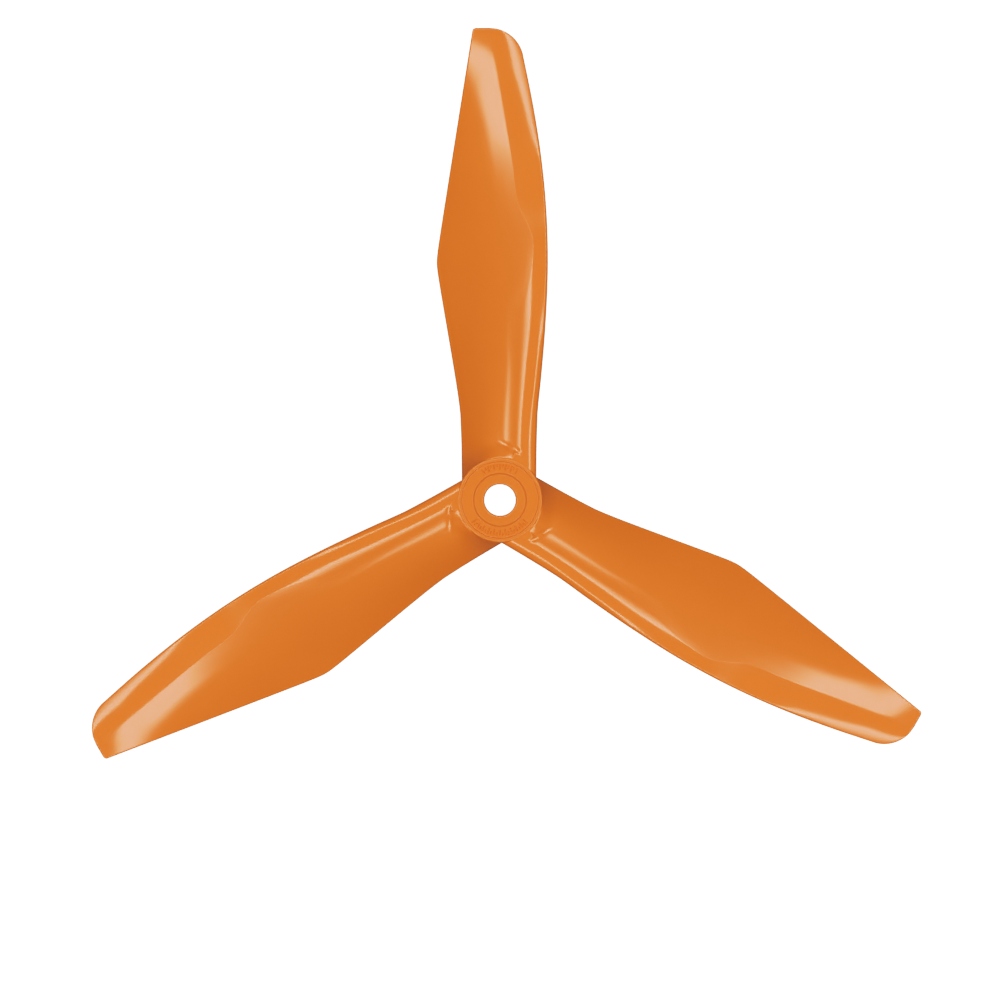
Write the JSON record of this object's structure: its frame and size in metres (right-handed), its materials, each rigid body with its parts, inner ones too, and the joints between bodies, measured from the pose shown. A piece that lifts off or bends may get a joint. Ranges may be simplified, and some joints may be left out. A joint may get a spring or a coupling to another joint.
{
  "type": "multirotor propeller",
  "caption": "Fixed-pitch propeller with broad twisted blades on a bored hub, for a small multirotor; turns clockwise seen from above.",
  "frame": {"origin": "centre of the shaft bore, on the hub's motor-side face", "axes": "+Z along the bore, from the motor towards the propeller nut; +Y along the first blade; the blades turn clockwise seen from +Z"},
  "size_m": [0.1339, 0.118, 0.0075],
  "materials": {
    "hub_plastic": "smooth moulded orange plastic, semi-gloss",
    "blade_plastic": "smooth moulded orange plastic, semi-gloss"
  },
  "bodies": {
    "root": {"hub": "hub_plastic", "blade_1": "blade_plastic", "blade_2": "blade_plastic", "blade_3": "blade_plastic"}
  },
  "joints": []
}
